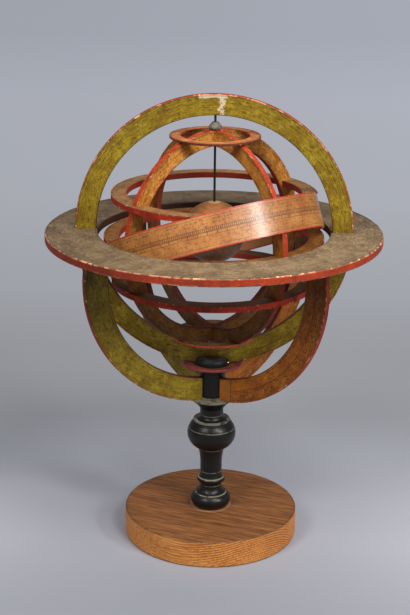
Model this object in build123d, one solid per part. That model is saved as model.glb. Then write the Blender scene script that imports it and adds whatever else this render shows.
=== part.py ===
from build123d import *
import os
from math import cos, hypot, radians, sin, sqrt

# Armillary sphere. Millimetres, +Z up, origin at the middle of the base's underside.
# The meridian ring stands in the XZ plane, and the front of the object faces -Y.

# Inner sphere: card rings that cross in halving joints
obliquity = 23.5
sphere_radius = 84.0
ring_width = 12.0
card_thickness = 4.4
halving_gap = 0.05
equator_overhang = 1.0
tropic_overhang = 2.2
arctic_circle_overhang = 1.3
antarctic_circle_overhang = -0.8
polar_circle_width = 8.5
polar_circle_thickness = 1.8
polar_circle_lift = 3.0
thin_edge_round = 0.3
zodiac_width = 26.4
zodiac_thickness = 2.0
zodiac_overhang = 0.6
sphere_turn = -50.0
sphere_drop = 4.3

# Wire from the north pole down into the Earth, pivot at the south pole, and two spacers
wire_radius = 0.9
wire_end_depth = 0.4
wire_reach_in_earth = 8.0
pivot_reach = 9.0
wire_fixed_gap = 0.04
wire_running_gap = 0.08
earth_radius = 24.0
spacer_gap = 0.3
upper_spacer_height = 5.6
upper_spacer_radius = 5.1
upper_spacer_top_radius = 2.6
upper_spacer_bulge = 0.9
upper_spacer_waist = 3.4
lower_spacer_radius = 2.6

# Meridian ring
meridian_clearance = 0.5
meridian_width = 16.2
meridian_thickness = 5.0
meridian_edge_round = 0.6
meridian_sink = 1.5
slot_gap = 0.35

# Horizon ring
horizon_clearance = 0.7
horizon_width = 40.6
horizon_thickness = 6.2
horizon_edge_round = 0.9

# Quadrant legs, with the direction of each round the stem
leg_directions = {
    "leg_rear_right": 45.0,
    "leg_rear_left": 131.0,
    "leg_front_left": 208.0,
    "leg_front_right": 322.0,
}
leg_width = 19.3
leg_thickness = 5.0
leg_edge_round = 0.5
leg_rise = 24.5
leg_foot_trim = 1.5
leg_groove_depth = 2.5
leg_fit = 0.1

# Base board
base_radius = 69.5
base_thickness = 21.8
base_top_round = 1.2
base_bottom_round = 1.0

# Stem: height and radius of each turned member, from the foot upward
foot_height = 11.4
foot_radius = 16.0
foot_seat_radius = 13.0
foot_top_radius = 12.4
foot_bead_radius = 12.0
foot_cove_height = 6.3
foot_cove_radius = 11.4
foot_cove_bulge = 1.1
bead_height = 1.1
shaft_radius = 8.7
lower_shaft_height = 2.4
ring_member_height = 4.2
ring_member_radius = 11.4
ring_shoulder_radius = 9.9
ring_cove_height = 5.4
ring_cove_bulge = 0.35
shaft_height = 6.4
shaft_flare_height = 13.3
shaft_flare_radius = 10.5
shaft_flare_bulge = 0.4
shaft_bead_radius = 11.2
ball_height = 23.0
ball_radius = 19.4
ball_bottom_radius = 12.0
ball_top_radius = 14.0
ball_bead_radius = 14.6
ball_cove_height = 4.0
ball_cove_radius = 13.8
ball_cove_bulge = 1.3
upper_neck_radius = 9.3
upper_neck_height = 5.3
cup_height = 7.9
cup_radius = 16.8
cup_bulge = 0.4
cup_rim_height = 1.3
neck_radius = 10.2
neck_bead_radius = 11.6

# Joint of stem and base
tenon_radius = 6.9
tenon_length = 9.5
tenon_fit = 0.05
screw_length = 36.0
screw_radius = 2.0
screw_head_radius = 4.4
screw_head_height = 2.6
screw_head_recess = 1.0
screw_point_height = 5.0
screw_slot_width = 0.9
screw_slot_depth = 1.0
screw_fit = 0.05

# Oval collar, slotted cap and its pin, at the top of the stem
collar_half_length = 23.4
collar_half_width = 18.6
collar_thickness = 2.0
collar_edge_round = 0.6
cap_radius = 13.6
cap_height = 6.1
cap_edge_round = 4.2
cap_tenon_radius = 5.5
cap_tenon_length = 5.5
pin_direction = -23.0
pin_height = 1.9
pin_radius = 0.6
pin_length = 5.0
pin_head_radius = 1.4
pin_head_height = 0.7
pin_head_rim = 0.25
pin_head_flat = 0.5
pin_head_bulge = 0.08

# Sizes that follow from the ones above: the circles lie at their true latitudes
tropic_height = sphere_radius * sin(radians(obliquity))
tropic_radius = sphere_radius * cos(radians(obliquity)) + tropic_overhang
equator_radius = sphere_radius + equator_overhang
polar_latitude_radius = sphere_radius * sin(radians(obliquity))
arctic_radius = polar_latitude_radius + arctic_circle_overhang
antarctic_radius = polar_latitude_radius + antarctic_circle_overhang
polar_face_height = sphere_radius * cos(radians(obliquity)) + polar_circle_lift
zodiac_outer = sphere_radius + zodiac_overhang
zodiac_inner = zodiac_outer - zodiac_thickness

# Each outer ring clears all that turns inside it, about the meridian ring's middle
zodiac_low_radius = (
    zodiac_outer * cos(radians(obliquity)) - zodiac_width / 2 * sin(radians(obliquity)))
zodiac_low_height = (
    zodiac_outer * sin(radians(obliquity)) + zodiac_width / 2 * cos(radians(obliquity)))
sphere_reach = max(
    sphere_radius + sphere_drop,
    hypot(equator_radius, card_thickness / 2 + sphere_drop),
    hypot(tropic_radius, tropic_height + card_thickness / 2 + sphere_drop),
    hypot(zodiac_low_radius, zodiac_low_height + sphere_drop))
polar_reach = hypot(antarctic_radius, polar_face_height + sphere_drop)
horizon_inner = sphere_reach + horizon_clearance
horizon_outer = horizon_inner + horizon_width
meridian_inner = polar_reach + meridian_clearance
meridian_outer = meridian_inner + meridian_width
slot_width = meridian_thickness + 2 * slot_gap
leg_inner = horizon_inner
leg_outer = leg_inner + leg_width

# Heights above the floor
cup_top_z = base_thickness + sum((
    foot_height, bead_height, foot_cove_height, lower_shaft_height, ring_member_height,
    ring_cove_height, shaft_height, shaft_flare_height, bead_height, ball_height, bead_height,
    ball_cove_height, upper_neck_height, cup_height, cup_rim_height))
leg_centre_z = cup_top_z + leg_outer - leg_foot_trim
horizon_bottom_z = leg_centre_z + leg_rise
meridian_z = horizon_bottom_z + horizon_thickness - meridian_sink
sphere_z = meridian_z - sphere_drop
wire_low_z = meridian_z - wire_reach_in_earth
collar_top_z = meridian_z - meridian_outer - slot_gap
neck_top_z = collar_top_z - collar_thickness


def flat_ring(outer, width, thickness, edge_round):
    """A ring that lies flat about the origin, with its edges rounded a little."""
    section = Pos(outer - width / 2, 0) * RectangleRounded(width, thickness, edge_round)
    return revolve(Plane.XZ * section, Axis.Z)


def upright_ring(outer, width, thickness, edge_round):
    """The same ring, standing in the XZ plane."""
    return Rot(90, 0, 0) * flat_ring(outer, width, thickness, edge_round)


def box_between(low, high):
    """A box, given by its lowest and its highest corner."""
    size = [b - a for a, b in zip(low, high)]
    middle = [(a + b) / 2 for a, b in zip(low, high)]
    return Pos(*middle) * Box(*size)


def tube(outer, inner, height):
    """A plain ring with square edges, flat about the origin."""
    return Cylinder(outer, height) - Cylinder(inner, 2 * height)


def turned(outline):
    """A turned piece: each corner is (radius, height, bulge of the line that leads to it)."""
    edges = []
    for start, end in zip(outline[-1:] + outline[:-1], outline):
        if end[2] == 0:
            edges.append(Line(start[:2], end[:2]))
        else:
            edges.append(SagittaArc(start[:2], end[:2], -end[2]))
    return revolve(Plane.XZ * make_face(edges), Axis.Z)


def polar_radius(side):
    """The outer radius of the arctic (1) or antarctic (-1) circle."""
    return arctic_radius if side > 0 else antarctic_radius


def in_sphere(shape):
    """Moves a piece from the sphere's own frame to its place in the meridian ring."""
    return Pos(0, 0, sphere_z) * Rot(0, 0, sphere_turn) * shape


def zodiac_room():
    """What the zodiac band takes out of the rings that it lies on."""
    room = tube(zodiac_outer + ring_width, zodiac_inner - halving_gap, zodiac_width + 2 * halving_gap)
    return Rot(0, -obliquity, 0) * room


def circle_room(radius, height):
    """What a flat circle takes out of a colure: the colure's outer half, and no more."""
    room = tube(radius + ring_width, radius - ring_width / 2, card_thickness + 2 * halving_gap)
    return Pos(0, 0, height) * room


def polar_land(side):
    """The flat step in a colure's outer edge that a polar circle lies on."""
    inner = polar_radius(side) - polar_circle_width - halving_gap
    floor = polar_face_height - polar_circle_thickness
    return Pos(0, 0, side * (floor + ring_width / 2)) * tube(sphere_radius, inner, ring_width)


def colure(direction, lap_side):
    """An upright ring of the sphere. At the poles it keeps its outer (1) or inner (-1) half."""
    ring = Rot(90, 0, 0) * tube(sphere_radius, sphere_radius - ring_width, card_thickness)
    ring -= circle_room(equator_radius, 0)
    half = card_thickness / 2 + halving_gap
    lap = sphere_radius - ring_width / 2 - lap_side * ring_width / 2
    for side in (1, -1):
        ring -= circle_room(tropic_radius, side * tropic_height)
        ring -= polar_land(side)
        ring -= Pos(0, 0, side * lap) * Box(2 * half, 2 * half, ring_width)
    ring -= Cylinder(wire_radius + wire_running_gap, 3 * sphere_radius)
    return in_sphere(Rot(0, 0, direction) * ring - zodiac_room())


def wide_circle(radius, height):
    """A flat circle of the sphere, notched from inside where the colures pass."""
    ring = tube(radius, radius - ring_width, card_thickness)
    half = card_thickness / 2 + halving_gap
    inner_half = radius - ring_width
    for direction in (0, 90, 180, 270):
        ring -= Rot(0, 0, direction) * Pos(inner_half, 0, 0) * Box(ring_width, 2 * half, 2 * card_thickness)
    return in_sphere(Pos(0, 0, height) * ring - zodiac_room())


def polar_circle(side):
    """A thin flat circle that lies on the colures near a pole."""
    ring = flat_ring(polar_radius(side), polar_circle_width, polar_circle_thickness, thin_edge_round)
    return in_sphere(Pos(0, 0, side * (polar_face_height - polar_circle_thickness / 2)) * ring)


def zodiac_band():
    """The broad tilted band, let flush into the outer edges of the other rings."""
    band = flat_ring(zodiac_outer, zodiac_thickness, zodiac_width, thin_edge_round)
    return in_sphere(Rot(0, -obliquity, 0) * band)


def rod_between(radius, low, high):
    """A round rod on the polar axis, between two heights."""
    return Pos(0, 0, (low + high) / 2) * Cylinder(radius, high - low)


def polar_wire():
    """The straight iron wire, from the meridian ring's top rim down into the Earth."""
    return rod_between(wire_radius, wire_low_z, meridian_z + meridian_outer - wire_end_depth)


def lower_pivot():
    """The short pin on which the sphere turns at its south pole."""
    low = meridian_z - meridian_outer + wire_end_depth
    return rod_between(wire_radius, low, sphere_z - sphere_radius + pivot_reach)


def wire_hole():
    """The hole of each piece that is fixed on the wire or on the pivot."""
    return rod_between(wire_radius + wire_fixed_gap, 0, 2 * meridian_z)


def earth_ball():
    """The small ball in the middle, on the end of the wire."""
    hole = rod_between(wire_radius + wire_fixed_gap, wire_low_z - wire_fixed_gap, 2 * meridian_z)
    return Pos(0, 0, meridian_z) * Sphere(earth_radius) - hole


def upper_spacer():
    """The turned bead on the wire, just above the sphere's north pole."""
    z = sphere_z + sphere_radius + spacer_gap
    rim = upper_spacer_radius - upper_spacer_bulge
    bead = turned([
        (0, z, 0), (rim, z, 0), (rim, z + upper_spacer_waist, upper_spacer_bulge),
        (upper_spacer_top_radius, z + upper_spacer_height, 0), (0, z + upper_spacer_height, 0)])
    return bead - wire_hole()


def lower_spacer():
    """The bead between the meridian ring's inner edge and the sphere's south pole."""
    bottom = meridian_z - sqrt(meridian_inner**2 - lower_spacer_radius**2)
    top = sphere_z - sphere_radius - spacer_gap
    bead = Pos(0, 0, (bottom + top) / 2) * Cylinder(lower_spacer_radius, top - bottom)
    return bead - wire_hole()


def meridian_ring():
    """The upright ring that holds the wire and runs in the horizon ring and the cap."""
    ring = upright_ring(meridian_outer, meridian_width, meridian_thickness, meridian_edge_round)
    return Pos(0, 0, meridian_z) * ring - wire_hole()


def horizon_ring():
    """The broad flat ring, with a notch at each end for the meridian ring."""
    ring = flat_ring(horizon_outer, horizon_width, horizon_thickness, horizon_edge_round)
    ring -= Box(2 * (meridian_outer + slot_gap), slot_width, 2 * horizon_thickness)
    return Pos(0, 0, horizon_bottom_z + horizon_thickness / 2) * ring


def leg(direction):
    """A curved leg, from its groove in the neck up to the horizon ring's underside."""
    ring = Pos(0, 0, leg_centre_z) * upright_ring(leg_outer, leg_width, leg_thickness, leg_edge_round)
    ring &= box_between(
        (neck_radius - leg_groove_depth, -leg_thickness, cup_top_z),
        (leg_outer, leg_thickness, horizon_bottom_z))
    ring -= box_between(
        (0, -leg_thickness, leg_centre_z), (leg_inner, leg_thickness, horizon_bottom_z + leg_rise))
    return Rot(0, 0, direction) * ring


def leg_groove(direction):
    """The upright groove in the neck that the end of a leg is glued into."""
    half = leg_thickness / 2 + leg_fit
    top = leg_centre_z - sqrt(leg_inner**2 - neck_radius**2) + leg_fit
    groove = box_between(
        (neck_radius - leg_groove_depth - leg_fit, -half, cup_top_z), (cup_radius, half, top))
    return Rot(0, 0, direction) * groove


def base_disc():
    """The round board, with a hole for the stem's tenon and a countersunk screw hole."""
    board = Pos(0, 0, base_thickness / 2) * Cylinder(base_radius, base_thickness)
    board = fillet(board.edges().group_by(Axis.Z)[-1], base_top_round)
    board = fillet(board.edges().group_by(Axis.Z)[0], base_bottom_round)
    depth = tenon_length + tenon_fit
    board -= Pos(0, 0, base_thickness - depth / 2) * Cylinder(tenon_radius + tenon_fit, depth)
    shank = screw_radius + screw_fit
    head = screw_head_radius + screw_fit
    countersink = screw_head_recess + screw_head_height
    board -= turned([
        (0, 0, 0), (head, 0, 0), (head, screw_head_recess, 0), (shank, countersink, 0),
        (shank, base_thickness, 0), (0, base_thickness, 0)])
    return board


def base_screw():
    """The wood screw that holds the stem on the base, with its thread left plain."""
    z = screw_head_recess
    screw = turned([
        (0, z, 0), (screw_head_radius, z, 0), (screw_radius, z + screw_head_height, 0),
        (screw_radius, z + screw_length - screw_point_height, 0), (0, z + screw_length, 0)])
    slot = Box(3 * screw_head_radius, screw_slot_width, 2 * screw_slot_depth)
    return screw - Pos(0, 0, z) * slot


def stem_outline():
    """The turned members of the stem, one above the other."""
    z = base_thickness
    outline = [
        (0, z - tenon_length, 0), (tenon_radius, z - tenon_length, 0), (tenon_radius, z, 0),
        (foot_seat_radius, z, 0)]
    z += foot_height
    foot_bulge = foot_radius - (foot_seat_radius + foot_top_radius) / 2
    outline += [(foot_top_radius, z, foot_bulge), (foot_bead_radius, z, 0)]
    z += bead_height
    outline += [(foot_bead_radius, z, 0), (foot_cove_radius, z, 0)]
    z += foot_cove_height
    outline += [(shaft_radius, z, -foot_cove_bulge)]
    z += lower_shaft_height
    outline += [(shaft_radius, z, 0), (ring_shoulder_radius, z, 0)]
    z += ring_member_height
    outline += [(ring_shoulder_radius, z, ring_member_radius - ring_shoulder_radius)]
    z += ring_cove_height
    outline += [(shaft_radius, z, -ring_cove_bulge)]
    z += shaft_height
    outline += [(shaft_radius, z, 0)]
    z += shaft_flare_height
    outline += [(shaft_flare_radius, z, -shaft_flare_bulge), (shaft_bead_radius, z, 0)]
    z += bead_height
    outline += [(shaft_bead_radius, z, 0), (ball_bottom_radius, z, 0)]
    z += ball_height
    ball_bulge = ball_radius - (ball_bottom_radius + ball_top_radius) / 2
    outline += [(ball_top_radius, z, ball_bulge), (ball_bead_radius, z, 0)]
    z += bead_height
    outline += [(ball_bead_radius, z, 0), (ball_cove_radius, z, 0)]
    z += ball_cove_height
    outline += [(upper_neck_radius, z, -ball_cove_bulge)]
    z += upper_neck_height
    outline += [(upper_neck_radius, z, 0)]
    z += cup_height
    outline += [(cup_radius, z, -cup_bulge)]
    z += cup_rim_height
    outline += [(cup_radius, z, 0), (neck_bead_radius, z, 0)]
    z += bead_height
    outline += [(neck_bead_radius, z, 0), (neck_radius, z, 0)]
    outline += [(neck_radius, neck_top_z, 0), (0, neck_top_z, 0)]
    return outline


def stem():
    """The turned stem, bored for the screw and the cap, and grooved for the legs."""
    post = turned(stem_outline())
    for direction in leg_directions.values():
        post -= leg_groove(direction)
    depth = cap_tenon_length + tenon_fit
    post -= Pos(0, 0, neck_top_z - depth / 2) * Cylinder(cap_tenon_radius + tenon_fit, depth)
    tip = screw_head_recess + screw_length
    shank = screw_radius + screw_fit
    post -= turned([
        (0, 0, 0), (shank, 0, 0), (shank, tip - screw_point_height, 0), (0, tip + screw_fit, 0)])
    return post


def collar_disc():
    """The thin oval disc between the top of the neck and the cap."""
    disc = extrude(Ellipse(collar_half_length, collar_half_width), collar_thickness)
    disc = fillet(disc.edges(), collar_edge_round)
    return Pos(0, 0, neck_top_z) * disc - rod_between(cap_tenon_radius + tenon_fit, 0, 2 * neck_top_z)


def slotted_cap():
    """The domed cap, sawn through for the meridian ring, with a tenon into the neck."""
    cap = Pos(0, 0, collar_top_z + cap_height / 2) * Cylinder(cap_radius, cap_height)
    cap = fillet(cap.edges().group_by(Axis.Z)[-1], cap_edge_round)
    cap -= box_between(
        (-2 * cap_radius, -slot_width / 2, collar_top_z),
        (2 * cap_radius, slot_width / 2, collar_top_z + 2 * cap_height))
    depth = collar_thickness + cap_tenon_length
    cap += Pos(0, 0, collar_top_z - depth / 2) * Cylinder(cap_tenon_radius, depth)
    return cap - pin_place() * Cylinder(pin_radius, 2 * pin_length)


def pin_place():
    """Where the pin meets the cap's side, with +Z pointing out of the cap."""
    return Pos(0, 0, collar_top_z + pin_height) * Rot(0, 0, pin_direction) * Pos(cap_radius, 0, 0) * Rot(0, 90, 0)


def cap_pin():
    """The small round-headed pin in the cap's right side."""
    pin = turned([
        (0, -pin_length, 0), (pin_radius, -pin_length, 0), (pin_radius, 0, 0),
        (pin_head_radius, 0, 0), (pin_head_radius, pin_head_rim, 0),
        (pin_head_flat, pin_head_height, pin_head_bulge), (0, pin_head_height, 0)])
    return pin_place() * pin


def build_pieces():
    """Every piece of the object, by name."""
    pieces = {
        "base_disc": base_disc(),
        "base_screw": base_screw(),
        "stem": stem(),
        "collar_disc": collar_disc(),
        "slotted_cap": slotted_cap(),
        "cap_pin": cap_pin(),
        "horizon_ring": horizon_ring(),
        "meridian_ring": meridian_ring(),
        "polar_wire": polar_wire(),
        "lower_pivot": lower_pivot(),
        "upper_spacer": upper_spacer(),
        "lower_spacer": lower_spacer(),
        "earth_ball": earth_ball(),
        "solstice_colure": colure(0, 1),
        "equinox_colure": colure(90, -1),
        "arctic_circle": polar_circle(1),
        "cancer_circle": wide_circle(tropic_radius, tropic_height),
        "equator_circle": wide_circle(equator_radius, 0),
        "capricorn_circle": wide_circle(tropic_radius, -tropic_height),
        "antarctic_circle": polar_circle(-1),
        "zodiac_band": zodiac_band(),
    }
    for name, direction in leg_directions.items():
        pieces[name] = leg(direction)
    return pieces


os.makedirs("parts", exist_ok=True)
for name, piece in build_pieces().items():
    export_step(piece, f"parts/{name}.step")
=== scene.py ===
import math

import bpy
from mathutils import Matrix, Vector

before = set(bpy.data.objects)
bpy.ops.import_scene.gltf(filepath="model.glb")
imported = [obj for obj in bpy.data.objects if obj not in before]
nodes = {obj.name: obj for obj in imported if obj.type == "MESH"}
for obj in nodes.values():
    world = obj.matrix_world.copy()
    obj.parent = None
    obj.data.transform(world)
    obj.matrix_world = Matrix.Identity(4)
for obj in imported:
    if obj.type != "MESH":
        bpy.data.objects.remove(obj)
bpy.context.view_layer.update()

# The oak board under everything: a disc cut from one plank, darkened with age on its top.
# Its grain runs across the front and falls a little to the right, and the stem stands in its middle.
# Its finish also brings what every finish needs: a socket to reckon with, a colour card and a start.


class Wire:
    """A socket in a finish. Arithmetic on it adds Math nodes, and node() adds any other node."""

    def __init__(self, tree, socket):
        self.tree = tree
        self.socket = socket

    def node(self, kind, settings=None, inputs=None, output=0):
        """Any node: its settings first, with "stops" for a ramp's, then the values of its sockets."""
        made = self.tree.nodes.new(kind)
        for name, value in (settings or {}).items():
            if name == "stops":
                for place, colour in value[2:]:
                    made.color_ramp.elements.new(place)
                for stop, (place, colour) in zip(made.color_ramp.elements, value):
                    stop.position = place
                    stop.color = colour
            else:
                setattr(made, name, value)
        for name, value in (inputs or {}).items():
            if isinstance(value, Wire):
                self.tree.links.new(value.socket, made.inputs[name])
            else:
                made.inputs[name].default_value = value
        return Wire(self.tree, made.outputs[output])

    def math(self, operation, *others):
        """A Math node on this value and the others."""
        return self.node("ShaderNodeMath", {"operation": operation}, dict(enumerate((self,) + others)))

    def __add__(self, other):
        return self.math("ADD", other)

    __radd__ = __add__

    def __sub__(self, other):
        return self.math("SUBTRACT", other)

    def __rsub__(self, other):
        return self.node("ShaderNodeMath", {"operation": "SUBTRACT"}, {0: other, 1: self})

    def __mul__(self, other):
        return self.math("MULTIPLY", other)

    __rmul__ = __mul__

    def __truediv__(self, other):
        return self.math("DIVIDE", other)

    def rise(self, low, high):
        """0 below low and 1 above high, with a soft step between."""
        return self.node("ShaderNodeMapRange", {"interpolation_type": "SMOOTHSTEP"},
                         {"Value": self, "From Min": low, "From Max": high})

    def fall(self, low, high):
        """1 below low and 0 above high, with a soft step between."""
        return 1 - self.rise(low, high)

    def line(self, middle, width):
        """1 on a line of that width about a value, and 0 away from it."""
        return (self - middle).math("ABSOLUTE").fall(width * 0.3, width * 0.7)

    def band(self, low, high, soft):
        """1 between low and high, and 0 outside them."""
        return self.rise(low - soft, low + soft) * self.fall(high - soft, high + soft)

    def over(self, first, second):
        """The first colour where this mask is 0, the second where it is 1."""
        return self.node("ShaderNodeMix", {"data_type": "RGBA"}, {0: self, 6: first, 7: second}, 2)

    def darken(self, colour, least):
        """The colour, multiplied by 1 where this mask is 0 and by least where it is 1."""
        depth = 1 - self * (1 - least)
        grey = self.node("ShaderNodeCombineColor", None, {0: depth, 1: depth, 2: depth})
        return self.node("ShaderNodeMix", {"data_type": "RGBA", "blend_type": "MULTIPLY"},
                         {0: 1.0, 6: colour, 7: grey}, 2)

    def axes(self):
        """The three coordinates of a place."""
        made = self.tree.nodes.new("ShaderNodeSeparateXYZ")
        self.tree.links.new(self.socket, made.inputs[0])
        return [Wire(self.tree, out) for out in made.outputs]

    def place(self, y, z):
        """A place with this value as its first coordinate."""
        return self.node("ShaderNodeCombineXYZ", None, {0: self, 1: y, 2: z})

    def spread(self, x, y, z):
        """A place with each coordinate multiplied, so that a cloud on it is drawn out."""
        return self.node("ShaderNodeMapping", None, {"Vector": self, "Scale": (x, y, z)})

    def cloud(self, size, detail, roughness=0.55):
        """Cloudy noise from 0 to 1 over a place in millimetres, with lumps of about that size."""
        return self.node("ShaderNodeTexNoise", None,
                         {"Vector": self, "Scale": 1 / size, "Detail": detail, "Roughness": roughness})

    def reach(self, other):
        """The distance from the middle that two coordinates make."""
        return (self * self + other * other).math("SQRT")

    def turn_about(self, other):
        """The angle in degrees of a place, this value being its rise and the other its level part."""
        return self.math("ARCTAN2", other) * (180 / math.pi)


def paint(red, green, blue):
    """A colour as a card shows it, from 0 to 255, in the linear light of the finishes."""
    linear = [((value / 255 + 0.055) / 1.055) ** 2.4 for value in (red, green, blue)]
    return (*linear, 1.0)


def new_finish(name, turn=0.0, height=0.0, tilt=0.0):
    """An empty finish, and the place on the piece in millimetres, in its own turned, lowered frame."""
    material = bpy.data.materials.new(name)
    material.use_nodes = True
    tree = material.node_tree
    tree.nodes.clear()
    place = Wire(tree, tree.nodes.new("ShaderNodeTexCoord").outputs["Object"])
    place = place.node("ShaderNodeMapping", None, {
        "Vector": place, "Scale": (1000, 1000, 1000), "Rotation": (0, 0, math.radians(-turn)),
        "Location": (0, 0, -height)})
    if tilt:
        place = place.node("ShaderNodeMapping", None, {
            "Vector": place, "Rotation": (0, math.radians(tilt), 0)})
    return material, place


def end_finish(material, colour, roughness, relief=None, relief_depth=0.1, metallic=0.0, coat=0.0,
               coat_roughness=0.2, specular=0.5):
    """Closes a finish and returns its last node. Relief is a height, relief_depth its millimetres."""
    tree = material.node_tree
    shader = tree.nodes.new("ShaderNodeBsdfPrincipled")
    for name, value in (("Base Color", colour), ("Roughness", roughness), ("Metallic", metallic)):
        if isinstance(value, Wire):
            tree.links.new(value.socket, shader.inputs[name])
        else:
            shader.inputs[name].default_value = value
    shader.inputs["Coat Weight"].default_value = coat
    shader.inputs["Coat Roughness"].default_value = coat_roughness
    shader.inputs["Specular IOR Level"].default_value = specular
    if relief is not None:
        bump = relief.node("ShaderNodeBump", None, {"Height": relief, "Distance": relief_depth / 1000})
        tree.links.new(bump.socket, shader.inputs["Normal"])
    end = tree.nodes.new("ShaderNodeOutputMaterial")
    tree.links.new(shader.outputs[0], end.inputs[0])
    return end


def dress(node, material):
    """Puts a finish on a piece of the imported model."""
    for slot in nodes[node].material_slots:
        slot.material = material


base_top = 21.8
base_radius = 69.5
grain_turn = -20.0
heart_across = 34
heart_below = 46
year_width = 1.9
foot_mark_inner = 13.0
foot_mark_outer = 16.6

oak, spot = new_finish("oak", grain_turn)
along, across, up = spot.axes()
wander = spot.spread(0.012, 0.07, 0.07).cloud(1.0, 3.0) * 7
heart = across + heart_across + wander
years = (heart.reach(up + heart_below) / year_width).math("FRACT")
late_wood = years.rise(0.35, 0.9) * years.fall(0.93, 1.0)
fibre = spot.spread(0.035, 0.9, 0.9).cloud(1.0, 4.0, 0.75)
pores = spot.spread(0.09, 2.6, 2.6).cloud(1.0, 2.0, 0.6).rise(0.56, 0.68)
cloudy = spot.spread(0.3, 1.0, 1.0).cloud(26.0, 2.0)
on_top = up.rise(base_top - 1.6, base_top - 0.3)
side_tone = fibre.rise(0.34, 0.66).over(paint(178, 102, 34), paint(224, 154, 80))
side_tone = cloudy.rise(0.42, 0.62).over(side_tone, late_wood.over(side_tone, paint(150, 78, 20)))
top_tone = fibre.rise(0.36, 0.64).over(paint(92, 52, 20), paint(154, 98, 50))
tone = on_top.over(side_tone, top_tone)
tone = (late_wood * 0.55).darken(tone, 0.62)
tone = (pores * 0.8).darken(tone, 0.62)
radius = along.reach(across)
foot_mark = on_top * radius.band(foot_mark_inner, foot_mark_outer, 0.5) * (0.15 + cloudy * 0.5)
tone = foot_mark.over(tone, paint(176, 140, 104))
rim = on_top * radius.rise(base_radius - 2.4, base_radius - 0.8)
tone = (rim * 0.5).darken(tone, 0.6)
# The side is darker in its lowest two millimetres, next to the table.
bottom_darkening = up.fall(0.4, 2.2) * 0.5
tone = bottom_darkening.darken(tone, 0.55)
relief = (fibre * 0.5 + late_wood * 0.3) - pores * 0.6
end_finish(oak, tone, 0.5 + fibre * 0.25, relief, 0.22, specular=0.35)
dress("base_disc", oak)

# The wood screw under the base: a countersunk steel screw that pulls the stem down on the board.
# Its head is dull, with fine turning marks round it and spots of rust.
turning_mark = 0.22

steel, spot = new_finish("dull_screw_steel")
x, y = spot.axes()[:2]
turning = (x.reach(y) / turning_mark).math("FRACT").rise(0.2, 0.8)
rust = spot.cloud(1.6, 4.0).rise(0.5, 0.62)
tone = rust.over(paint(150, 150, 150), paint(92, 66, 48))
end_finish(steel, tone, 0.34 + rust * 0.3, turning, 0.02, metallic=0.9 - rust * 0.5)
dress("base_screw", steel)

# The turned stem: a baluster of close-grained wood, blackened and polished, in one piece with its foot.
# Its gloss is uneven, and the polish has rubbed to a pale line on each sharp edge of the turning.
worn_edges = ((33.4, 0.8), (40.5, 0.5), (43.2, 0.4), (47.0, 0.6), (52.4, 0.4), (72.5, 0.5), (73.3, 0.6),
              (90.4, 0.4), (96.6, 0.8), (97.4, 0.5), (101.6, 0.4), (115.9, 1.8), (117.0, 1.6))

black, spot = new_finish("black_polish")
up = spot.axes()[2]
smears = spot.spread(1.0, 1.0, 0.35).cloud(7.0, 3.0)
turning = spot.spread(0.05, 0.05, 3.2).cloud(1.0, 2.0)
tone = smears.over(paint(11, 10, 6), paint(22, 19, 13))
edges = sum(up.line(height, width) for height, width in worn_edges)
rubbed = edges.math("MINIMUM", 1.0) * spot.cloud(5.0, 4.0).rise(0.3, 0.52)
tone = (rubbed * 0.85).over(tone, paint(134, 128, 108))
specks = spot.cloud(1.4, 2.0).rise(0.66, 0.72)
tone = (specks * 0.35).over(tone, paint(84, 66, 48))
end_finish(black, tone, 0.3 + smears * 0.16 + rubbed * 0.25, turning - rubbed * 0.4, 0.05,
           coat=0.05, coat_roughness=0.15, specular=0.3)
dress("stem", black)

# The collar: a thin oval disc of card on top of the neck, painted a dull red-brown, darker round the
# cap. It closes the tops of the leg grooves, and its edge has worn to a purplish red.
collar_half_length = 23.4
collar_half_width = 18.6
cap_radius = 13.6

collar, spot = new_finish("collar_red")
x, y = spot.axes()[:2]
mottle = spot.cloud(4.5, 4.0)
tone = mottle.rise(0.3, 0.7).over(paint(96, 44, 26), paint(134, 66, 38))
tone = x.reach(y).fall(cap_radius, cap_radius + 2.9).darken(tone, 0.45)
to_edge = (x / collar_half_length).reach(y / collar_half_width)
tone = to_edge.rise(0.95, 0.98).over(tone, paint(142, 54, 52))
tone = (spot.cloud(1.2, 2.0).rise(0.62, 0.7) * 0.5).over(tone, paint(188, 132, 104))
end_finish(collar, tone, 0.55 + mottle * 0.2, mottle, 0.15)
dress("collar_disc", collar)

# The cap: a low domed knob with a saw cut across it, in which the meridian ring stands and runs.
# It is of the same turned and blackened wood as the stem, but duller, with dust on its top.
cap_top = 151.0
cap_shoulder = 149.0
shoulder_inner = 8.6
shoulder_outer = 10.4

cap_black, spot = new_finish("dusty_black")
x, y, up = spot.axes()
smears = spot.cloud(5.0, 3.0)
tone = smears.over(paint(15, 15, 14), paint(30, 28, 26))
dust = up.rise(cap_top - 2.5, cap_top) * spot.cloud(2.6, 4.0).rise(0.4, 0.7)
tone = (dust * 0.4).over(tone, paint(104, 100, 96))
# A painted highlight: a pale ring round the edge of the cap's top, broken into patches.
shoulder_highlight = x.reach(y).band(shoulder_inner, shoulder_outer, 0.5)
shoulder_highlight = shoulder_highlight * up.rise(cap_shoulder, cap_shoulder + 1.4)
tone = (shoulder_highlight * spot.cloud(3.0, 3.0).rise(0.45, 0.6) * 0.5).over(tone, paint(110, 100, 92))
end_finish(cap_black, tone, 0.36 + smears * 0.2 + dust * 0.15, smears, 0.08, specular=0.4)
dress("slotted_cap", cap_black)

# The pin in the cap's right side: a brass nail with a small round head, tapped into the wood.
# It is bright where fingers touch it, with some tarnish left.
brass, spot = new_finish("pin_brass")
tarnish = spot.cloud(0.8, 3.0).rise(0.5, 0.7)
tone = tarnish.over(paint(232, 210, 160), paint(150, 120, 76))
end_finish(brass, tone, 0.24 + tarnish * 0.3, tarnish, 0.02, metallic=1.0)
dress("cap_pin", brass)

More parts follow.
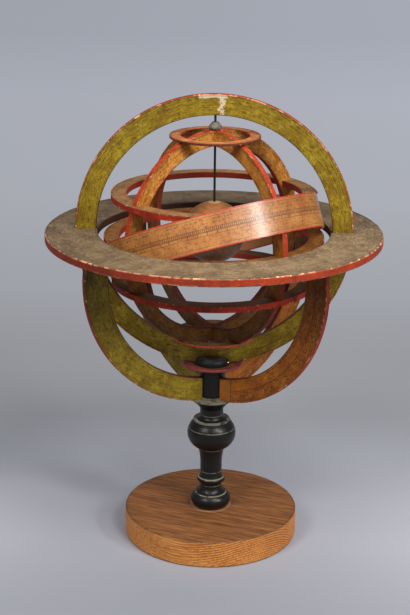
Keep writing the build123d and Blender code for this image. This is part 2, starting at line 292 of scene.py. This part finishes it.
# The four quadrant legs: strips of pasteboard cut to a quarter ring, glued into the neck's grooves.
# Paper covers both faces, printed with rules and small marks, green on the left, orange on the right.
# The outer edge is painted red and the inner one is left dark. All the card rings share this finish.


def ticks(angle, radius, step, width):
    """1 on each line of a scale with a line of that width every so many degrees."""
    nearest = (angle / step + 0.5).math("FRACT") - 0.5
    return (nearest.math("ABSOLUTE") * radius * math.radians(step)).fall(width * 0.25, width * 0.75)


def print_rows(angle, radius, low, high, rows, letter):
    """Rows of small printed marks between two radii, broken into words, with no letter in them."""
    row = (radius - low) / ((high - low) / rows)
    count = row.math("FLOOR")
    within = row.math("FRACT")
    word_length = 7.0
    run = angle * (math.radians(1.0) * (low + high) / 2 / letter)
    strokes = run.place(count * 7.3, within * 0.9).cloud(1.0, 1.0, 0.5).rise(0.47, 0.58)
    words = (run / word_length).place(count * 3.1, 0.0).cloud(1.0, 0.0, 0.5).rise(0.4, 0.46)
    return strokes * words * within.band(0.25, 0.75, 0.08) * radius.band(low, high, 0.1)


def card_finish(name, plane, outer, inner, tones, ink, red, chips, rules, height, scale=None,
                rows=None, turn=0.0, half_thickness=2.5, border=0.9, inside=(74, 36, 20),
                dark=None, over=None, roughness=0.52):
    """Paper and paint on a card ring that lies flat, "along" (upright in XZ) or "across" (in YZ).

    tones are the paper's two grounds, its streaks and its pale patches. ink is the strength of the
    print, border the width of the red on a face and chips the level above which the red has
    chipped. scale is its two radii, and rows the radii, count and letter size of the small print.
    dark gives a mask of painted shade, and over lays something more on the paper.
    """
    material, spot = new_finish(name, turn, height)
    x, y, z = spot.axes()
    level, rise, off = {"flat": (x, y, z), "along": (x, z, y), "across": (y, z, x)}[plane]
    radius = level.reach(rise)
    angle = rise.turn_about(level)

    lumps = spot.cloud(16.0, 4.0, 0.6)
    freckles = spot.cloud(1.7, 5.0, 0.75)
    brushed = (radius * 1.3).place(level * 0.2, rise * 0.2).cloud(1.0, 5.0, 0.7)
    paper = lumps.rise(0.36, 0.64).over(paint(*tones[0]), paint(*tones[1]))
    paper = (spot.cloud(4.2, 4.0, 0.6).rise(0.5, 0.68) * 0.6).over(paper, paint(*tones[3]))
    streaks = brushed * 0.6 + freckles * 0.4
    paper = (streaks.rise(0.48, 0.6) * 0.85).over(paper, paint(*tones[2]))
    paper = (brushed.rise(0.5, 0.68) * 0.4).darken(paper, 0.6)

    print_black = paint(46, 30, 16)
    marks = sum(radius.line(place, width) for place, width in rules)
    if scale:
        low, high = scale
        fine = ticks(angle, radius, 1.0, 0.34) * radius.band(low, high, 0.08)
        long = ticks(angle, radius, 5.0, 0.42) * radius.band(low, high + (high - low) * 0.9, 0.08)
        marks = marks + fine + long
    if rows:
        marks = marks + print_rows(angle, radius, *rows)
    fade = spot.cloud(9.0, 3.0).rise(0.28, 0.5)
    paper = (marks.math("MINIMUM", 1.0) * fade * ink).over(paper, print_black)
    if over:
        paper = over(spot, paper)

    uneven = (freckles - 0.5) * 1.4
    deep_red = paint(red[0] * 0.7, red[1] * 0.6, red[2] * 0.6)
    pale_red = paint(red[0] + 34, red[1] + 46, red[2] + 20)
    rubbed = lumps.rise(0.3, 0.72).over(paint(*red), deep_red)
    rubbed = (freckles.rise(0.52, 0.64) * 0.5).over(rubbed, pale_red)
    lip = (radius + uneven).rise(outer - border, outer - border + 0.5)
    tone = lip.over(paper, rubbed)
    seam = (radius + uneven * 0.5).line(outer - border - 0.6, 1.1)
    tone = (seam * 0.6).darken(tone, 0.45)

    pale_inside = paint(inside[0] * 1.7, inside[1] * 1.5, inside[2] * 1.4)
    core = (radius - uneven * 0.6).fall(inner + 0.35, inner + 0.8)
    tone = core.over(tone, freckles.over(paint(*inside), pale_inside))

    near_face = off.math("ABSOLUTE").rise(half_thickness - 1.3, half_thickness - 0.3)
    arris = radius.rise(outer - 1.5, outer - 0.7) * near_face
    worn = arris * spot.cloud(5.5, 5.0, 0.7).rise(chips - 0.09, chips - 0.05)
    tone = (worn * 0.55).over(tone, paint(222, 158, 124))
    torn = arris * spot.cloud(9.0, 5.0, 0.6).rise(chips, chips + 0.03)
    tone = (torn * 0.85).over(tone, paint(222, 178, 130))
    # Painted shade: the tone is darker where a dark mask is given.
    if dark:
        tone = dark(spot).darken(tone, 0.5)
    relief = freckles * 0.5 + brushed * 0.3 - torn * 0.9
    end_finish(material, tone, roughness + freckles * 0.18 + torn * 0.2, relief, 0.16, coat=0.04,
               coat_roughness=0.35, specular=0.25)
    return material


leg_outer = 108.755
leg_inner = 89.455
leg_centre = 223.255
neck_strip_end = 21.0
orange = ((156, 84, 14), (180, 102, 22), (104, 52, 10), (196, 128, 44))
green = ((128, 102, 14), (150, 128, 24), (92, 58, 10), (172, 152, 44))


def neck_end(spot, paper):
    """The plain strip of a leg at its neck end, closed by a dark rule."""
    outward = spot.axes()[0]
    plain = spot.cloud(6.0, 3.0).over(paint(184, 112, 42), paint(146, 82, 28))
    paper = outward.fall(neck_strip_end - 0.6, neck_strip_end).over(paper, plain)
    return (outward.line(neck_strip_end, 0.8) * 0.8).darken(paper, 0.3)


def horizon_shadow_painted(spot):
    """The painted shadow that the horizon ring casts on the tops of the legs."""
    return spot.axes()[2].rise(-62.0, -6.0)


# The tops of the legs carry the painted shadow of the horizon ring.
for node, direction, tones, ink, red, over in (
        ("leg_front_left", 208.0, green, 0.5, (160, 46, 24), None),
        ("leg_rear_left", 131.0, green, 0.5, (128, 38, 20), None),
        ("leg_front_right", 322.0, orange, 0.85, (166, 48, 24), neck_end),
        ("leg_rear_right", 45.0, orange, 0.8, (160, 54, 28), neck_end)):
    finish = card_finish(
        f"{node}_paper", "along", leg_outer, leg_inner, tones, ink, red, chips=0.64,
        rules=((leg_inner + 2.2, 0.35), (leg_inner + 9.4, 0.5), (leg_inner + 10.3, 0.3),
               (leg_outer - 2.6, 0.35)),
        rows=(leg_inner + 10.8, leg_outer - 3.0, 3, 1.1), turn=direction, height=leg_centre,
        dark=horizon_shadow_painted, over=over)
    dress(node, finish)

# The horizon ring: a broad flat ring of pasteboard on the four legs, with a notch at each end.
# Its printed paper is rubbed and soiled to a taupe brown in which only rules and streaks are left.
# The red of its edge has chipped, most of all along the arris, down to pale gesso.
horizon_outer = 130.055
horizon_inner = 89.455
horizon_middle = 250.855


def painted_shade_rear_left(spot):
    """Painted shade on the rear and the left of the ring, which are darker than the front."""
    x, y = spot.axes()[:2]
    return y.rise(-30.0, 90.0).math("MAXIMUM", x.fall(-130.0, 10.0) * 0.62)


# The dark mask here is painted shade on the ring's rear and left.
horizon = card_finish(
    "horizon_paper", "flat", horizon_outer, horizon_inner,
    tones=((104, 84, 58), (134, 110, 78), (66, 50, 34), (152, 130, 100)),
    ink=0.42, red=(164, 48, 14), chips=0.6,
    rules=((horizon_outer - 1.9, 0.5), (horizon_outer - 6.5, 0.3), (horizon_outer - 12.0, 0.35),
           (horizon_inner + 1.6, 0.6), (horizon_inner + 8.0, 0.3), (horizon_inner + 16.0, 0.3)),
    scale=(horizon_outer - 6.5, horizon_outer - 4.2), height=horizon_middle,
    half_thickness=3.1, border=0.5, inside=(58, 40, 28), dark=painted_shade_rear_left, roughness=0.55)
dress("horizon_ring", horizon)

# The meridian ring: an upright ring of pasteboard that stands in the notches and in the cap's slot.
# Mottled green paper covers its faces, with a faint scale of degrees, and its rim is painted red.
meridian_outer = 107.149
meridian_inner = 90.949
meridian_centre = 252.455


def torn_paper(spot, paper):
    """The paper is torn off at the top down to a cream ground, with a narrow tear below it."""
    x, _, z = spot.axes()
    ragged = (spot.cloud(3.4, 5.0, 0.8) - 0.5) * 14
    wide = (x + ragged).band(-12.0, 9.0, 0.4)
    wide = wide * (z + ragged * 0.5).rise(meridian_outer - 3.6, meridian_outer - 2.8)
    narrow = (x + ragged).band(2.6, 6.6, 0.5) * spot.cloud(2.2, 4.0, 0.7).rise(0.38, 0.5)
    upper_half = z.rise(70.0, 76.0)
    tear = (wide + narrow * upper_half).math("MINIMUM", 1.0)
    return (tear * 0.9).over(paper, paint(210, 190, 158))


meridian = card_finish(
    "meridian_paper", "along", meridian_outer, meridian_inner,
    tones=((120, 94, 12), (144, 120, 20), (86, 54, 8), (168, 146, 40)),
    ink=0.5, red=(148, 40, 16), chips=0.63,
    rules=((meridian_inner + 1.4, 0.35), (meridian_outer - 3.4, 0.35), (meridian_outer - 6.6, 0.3)),
    scale=(meridian_outer - 6.6, meridian_outer - 5.2), height=meridian_centre, border=0.8,
    inside=(60, 44, 22), over=torn_paper)
dress("meridian_ring", meridian)

# The polar wire and the short pivot at the south pole: straight drawn iron, pushed through the card.
# It has gone dark, with a little rust where the damp has reached it.
iron, spot = new_finish("dark_iron")
scale_rust = spot.cloud(1.3, 4.0)
tone = scale_rust.rise(0.5, 0.64).over(paint(44, 40, 38), paint(86, 58, 40))
end_finish(iron, tone, 0.42 + scale_rust * 0.25, scale_rust, 0.04, metallic=0.7)
dress("polar_wire", iron)
dress("lower_pivot", iron)

# The two spacers: small turned beads at the poles, painted a dark grey, that keep the sphere in place.
# Their paint is rubbed to bare wood in spots.
grey, spot = new_finish("grey_paint")
mottle = spot.cloud(1.8, 4.0)
tone = mottle.rise(0.34, 0.66).over(paint(72, 66, 56), paint(112, 102, 88))
tone = (spot.cloud(2.6, 3.0).rise(0.58, 0.66) * 0.7).over(tone, paint(122, 92, 60))
end_finish(grey, tone, 0.5 + mottle * 0.2, mottle, 0.06)
dress("upper_spacer", grey)
dress("lower_spacer", grey)

# The Earth: a small turned ball covered in gores of printed paper, varnished and gone ochre.
# Land, meridians and parallels are printed on it, and a pale round of paper closes each pole.
earth_centre = 252.455
earth_radius = 24.0
grid_step = 15.0
pole_paper_radius = 4.6

earth, spot = new_finish("earth_paper", 0.0, earth_centre)
x, y, z = spot.axes()
longitude = y.turn_about(x)
latitude = (z / earth_radius).math("ARCSINE") * (180 / math.pi)
from_axis = x.reach(y)
land = spot.cloud(17.0, 5.0, 0.6)
mottle = spot.cloud(3.0, 4.0, 0.65)
tone = mottle.rise(0.3, 0.7).over(paint(152, 92, 28), paint(120, 68, 18))
tone = (land.rise(0.5, 0.54) * 0.5).over(tone, paint(104, 76, 24))
coast = land.line(0.52, 0.012)
lines = ticks(longitude, from_axis, grid_step, 0.3) + ticks(latitude, earth_radius, grid_step, 0.3)
tone = ((coast + lines * 0.6).math("MINIMUM", 1.0) * 0.65).over(tone, paint(70, 44, 22))
pole_paper = from_axis.fall(pole_paper_radius, pole_paper_radius + 0.4)
tone = pole_paper.over(tone, paint(176, 132, 78))
# The ball's lower half is darkened with painted shade.
painted_shade_below = z.fall(-20.0, 6.0) * 0.6
tone = painted_shade_below.darken(tone, 0.55)
end_finish(earth, tone, 0.4 + mottle * 0.2, mottle + pole_paper * 0.8, 0.1, coat=0.25)
dress("earth_ball", earth)

# The two colures: upright card rings of the inner sphere, let into each other at the poles.
# Their faces carry ochre printed paper, the outer edge is painted red and the inner one is dark.
sphere_turn = -50.0
sphere_centre = 248.155
sphere_radius = 84.0
ring_width = 12.0
ring_half_thickness = 2.2
colure_inner = sphere_radius - ring_width
ochre = ((172, 104, 28), (196, 130, 50), (112, 58, 14), (218, 160, 84))


def painted_shade_south(spot):
    """Painted shade on the sphere's lower half."""
    return spot.axes()[2].fall(-60.0, 6.0) * 1.3


# The colures' lower halves are darkened with painted shade.
for node, plane in (("solstice_colure", "along"), ("equinox_colure", "across")):
    colure = card_finish(
        f"{node}_paper", plane, sphere_radius, colure_inner, ochre, ink=0.55, red=(164, 50, 16),
        chips=0.66,
        rules=((sphere_radius - 2.0, 0.3), (sphere_radius - 5.2, 0.3), (colure_inner + 1.4, 0.3)),
        scale=(sphere_radius - 3.8, sphere_radius - 2.0), turn=sphere_turn, height=sphere_centre,
        half_thickness=ring_half_thickness, border=0.7, inside=(92, 38, 20), dark=painted_shade_south)
    dress(node, colure)

# The wide circles: the equator and the two tropics, flat card rings notched for the colures.
# Their paper is browner than the colures'. The equator's tones hold some painted shade, and Capricorn,
# low down, is the darkest, its tones painted with the most shade.
tropic_radius = 79.233
tropic_height = 33.495
equator_radius = 85.0
cancer_brown = ((112, 80, 44), (142, 100, 54), (76, 52, 30), (164, 126, 78))
equator_shaded_brown = ((128, 78, 26), (150, 98, 40), (80, 46, 16), (176, 124, 66))
capricorn_shaded_brown = ((78, 54, 30), (98, 68, 38), (52, 34, 20), (112, 82, 50))

for node, outer, height, tones, red in (
        ("cancer_circle", tropic_radius, tropic_height, cancer_brown, (158, 38, 14)),
        ("equator_circle", equator_radius, 0.0, equator_shaded_brown, (158, 40, 14)),
        ("capricorn_circle", tropic_radius, -tropic_height, capricorn_shaded_brown, (160, 40, 14))):
    inner = outer - ring_width
    circle = card_finish(
        f"{node}_paper", "flat", outer, inner, tones, ink=0.5, red=red, chips=0.68,
        rules=((outer - 2.4, 0.3), (outer - 5.0, 0.3), (inner + 1.4, 0.3)), turn=sphere_turn,
        height=sphere_centre + height, half_thickness=ring_half_thickness, border=0.7,
        inside=(96, 34, 20))
    dress(node, circle)

# The two polar circles: thin rings of card pasted on the colures, printed above and red at the rim.
# The arctic one is a clear orange brown, and the antarctic one is olive, darkened with painted shade.
polar_width = 8.5
polar_half_thickness = 0.9
polar_height = 79.133
arctic_radius = 34.795
antarctic_radius = 32.695
arctic_brown = ((156, 88, 38), (182, 116, 58), (96, 60, 40), (200, 142, 88))
antarctic_shaded_olive = ((84, 64, 30), (104, 80, 38), (60, 42, 22), (126, 96, 50))

for node, outer, height, tones, red in (
        ("arctic_circle", arctic_radius, polar_height, arctic_brown, (104, 42, 28)),
        ("antarctic_circle", antarctic_radius, -polar_height, antarctic_shaded_olive, (186, 70, 48))):
    circle = card_finish(
        f"{node}_paper", "flat", outer, outer - polar_width, tones, ink=0.5, red=red, chips=0.7,
        rules=((outer - 2.0, 0.3), (outer - 4.2, 0.25)), turn=sphere_turn,
        height=sphere_centre + height, half_thickness=polar_half_thickness, border=0.6,
        inside=(110, 44, 30))
    dress(node, circle)

# The zodiac band: a broad thin hoop of card, bent round and let into the outer edges of the rings.
# Its paper is printed with the ecliptic, a scale of degrees and small marks, and varnished.
zodiac_outer = 84.6
zodiac_half_width = 13.2
ecliptic_tilt = 23.5
shine_angle = -13.0
zodiac_rules = ((0.0, 0.7), (2.6, 0.4), (-2.6, 0.4), (10.4, 0.3), (-10.4, 0.3))

zodiac, spot = new_finish("zodiac_paper", sphere_turn, sphere_centre, ecliptic_tilt)
x, y, z = spot.axes()
radius = x.reach(y)
angle = y.turn_about(x)
lumps = spot.cloud(20.0, 4.0)
freckles = spot.cloud(2.2, 4.0, 0.65)
paper = lumps.rise(0.34, 0.66).over(paint(158, 92, 28), paint(188, 126, 60))
paper = (freckles.rise(0.5, 0.68) * 0.8).over(paper, paint(126, 66, 18))
# The band is darker towards its two ends.
darker_ends = (x * 0.9 + y * 0.44).math("ABSOLUTE").rise(30.0, 80.0)
paper = (darker_ends * 0.45).darken(paper, 0.6)
rules = sum(z.line(place, width) for place, width in zodiac_rules)
degrees = ticks(angle, zodiac_outer, 1.0, 0.6) * z.band(0.2, 2.6, 0.1)
fives = ticks(angle, zodiac_outer, 5.0, 0.6) * z.band(-2.6, 4.4, 0.1)
signs = ticks(angle, zodiac_outer, 30.0, 0.4) * z.band(-11.0, 11.0, 0.1) * 0.5

# The rows of print run round the band, so the height on it takes the place of their radius.
rows_up = z + zodiac_outer
upper = print_rows(angle, rows_up, zodiac_outer + 4.6, zodiac_outer + 9.6, 2, 1.0) * 0.8
lower = print_rows(angle, rows_up, zodiac_outer - 10.0, zodiac_outer - 3.4, 3, 0.8) * 0.5
printed = (rules + degrees + fives + signs + upper + lower).math("MINIMUM", 1.0)

outside = radius.rise(zodiac_outer - 0.9, zodiac_outer - 0.4)
fade = spot.cloud(11.0, 3.0).rise(0.16, 0.4)
paper = (printed * fade * outside * 0.7).over(paper, paint(44, 24, 10))
paper = ((1 - outside) * 0.7).over(paper, paint(150, 92, 46))
uneven = (freckles - 0.5) * 1.2
from_middle = z.math("ABSOLUTE")
edge = (from_middle + uneven).rise(zodiac_half_width - 1.3, zodiac_half_width - 0.9)
tone = edge.over(paper, freckles.rise(0.4, 0.65).over(paint(150, 36, 14), paint(186, 64, 30)))
torn = from_middle.rise(zodiac_half_width - 0.6, zodiac_half_width - 0.2)
torn = torn * spot.cloud(8.0, 5.0).rise(0.66, 0.7)
tone = torn.over(tone, paint(236, 200, 164))
shine = (angle - shine_angle).math("ABSOLUTE").fall(2.0, 14.0)
end_finish(zodiac, tone, 0.44 + freckles * 0.16 - shine * 0.14, freckles * 0.5 + lumps * 0.5, 0.12,
           coat=0.45, coat_roughness=0.26)
dress("zodiac_band", zodiac)

# The table that the object stands on: a broad sheet of grey paper, with no edge in sight.
# Painted shade makes it darker in front of the object and close behind it, and it clears up farther
# off. Out of the object's shadow the camera sees the painted grey glow, with its painted shade, however
# little of the lamps gets there.
sheet_radius = 14.0
shade_front = -1000.0
shade_length = 4000.0
shade_width = 1400.0
shadow_reach = 200.0
glow_reach = 750.0
grey_and_shade_by_depth = (
    (0.0, (136, 137, 143)), (0.216, (138, 139, 145)), (0.244, (158, 158, 165)),
    (0.262, (158, 158, 165)), (0.285, (147, 148, 154)), (0.31, (139, 140, 144)),
    (0.358, (146, 147, 151)), (0.41, (162, 164, 171)), (0.53, (171, 174, 182)),
    (0.75, (173, 176, 186)), (1.0, (164, 168, 178)))
left_shade = (0.94, 0.94, 0.94, 1.0)
right_shade = (1.03, 1.03, 1.03, 1.0)

bpy.ops.object.select_all(action="DESELECT")
bpy.ops.mesh.primitive_circle_add(
    vertices=96, radius=sheet_radius, fill_type="NGON", location=(0, 0, -0.0002))
paper_sheet = bpy.context.object
paper_sheet.name = "table_paper"
paper_grey, spot = new_finish("table_paper")
x, y = spot.axes()[:2]
depth = (y - shade_front) / shade_length
stops = [(place, paint(*grey)) for place, grey in grey_and_shade_by_depth]
lengthwise = depth.node("ShaderNodeValToRGB", {"stops": stops}, {"Fac": depth})
sideways = (x / shade_width).rise(-0.5, 0.5).over(left_shade, right_shade)
tone = lengthwise.node("ShaderNodeMix", {"data_type": "RGBA", "blend_type": "MULTIPLY"},
                       {0: 1.0, 6: lengthwise, 7: sideways}, 2)
end = end_finish(paper_grey, tone, 0.9, specular=0.1)
lit = Wire(tone.tree, end.inputs[0].links[0].from_socket)
glow = tone.node("ShaderNodeEmission", None, {"Color": tone})
straight = tone.node("ShaderNodeLightPath", output="Is Camera Ray")
mirrored = tone.node("ShaderNodeLightPath", output="Is Glossy Ray")
away = x.reach(y).rise(shadow_reach, glow_reach)
mixed = lit.node("ShaderNodeMixShader", None,
                 {0: straight.math("MAXIMUM", mirrored) * away, 1: lit, 2: glow})
tone.tree.links.new(mixed.socket, end.inputs[0])
paper_sheet.data.materials.append(paper_grey)

# The lamps: two tall soft boxes at the front, the right one stronger, and a soft light overhead.
# A smaller lamp low on the right makes the bright sheen on the front of the zodiac band.
# Each row gives a lamp's place, width, height and power. All of them point at the object's middle.
lamp_aim = Vector((0, 0, 0.2))

for name, place, wide, tall, power in (
        ("right_soft_box", (0.7, -1.0, 1.6), 0.55, 0.9, 25.0),
        ("low_right_lamp", (1.06, -0.8, 0.9), 0.2, 0.3, 9.0),
        ("left_soft_box", (-0.8, -0.95, 1.35), 0.5, 0.8, 15.0),
        ("overhead_light", (0.1, 0.1, 1.9), 1.0, 1.0, 15.0)):
    lamp = bpy.data.lights.new(name, "AREA")
    lamp.shape = "RECTANGLE"
    lamp.size = wide
    lamp.size_y = tall
    lamp.energy = power
    box = bpy.data.objects.new(name, lamp)
    box.location = place
    box.rotation_euler = (lamp_aim - box.location).to_track_quat("-Z", "Y").to_euler()
    bpy.context.scene.collection.objects.link(box)

world = bpy.data.worlds.new("room")
world.use_nodes = True
room_light = world.node_tree.nodes["Background"]
room_light.inputs["Color"].default_value = paint(168, 171, 181)
room_light.inputs["Strength"].default_value = 0.5
bpy.context.scene.world = world

# The camera: a long lens a little above and in front of the object, tipped down as in the photograph.
# Its place, its three angles and its lens come from the fit to the rings and the base in it.
camera_place = Vector((0.02097, -1.092, 0.54903))
pitch = math.radians(18.16)
yaw = math.radians(-1.43)
roll = math.radians(0.63)
forward = Vector((math.sin(yaw) * math.cos(pitch), math.cos(yaw) * math.cos(pitch), -math.sin(pitch)))
level = forward.cross(Vector((0, 0, 1))).normalized()
upward = level.cross(forward)
right = level * math.cos(roll) + upward * math.sin(roll)
above = upward * math.cos(roll) - level * math.sin(roll)
camera = bpy.data.objects.new("camera", bpy.data.cameras.new("camera"))
camera.matrix_world = Matrix((right, above, -forward)).transposed().to_4x4()
camera.location = camera_place
camera.data.lens = 85.76
camera.data.sensor_width = 36.0
camera.data.clip_end = 60.0
bpy.context.scene.collection.objects.link(camera)
bpy.context.scene.camera = camera
bpy.context.scene.view_settings.view_transform = "Standard"
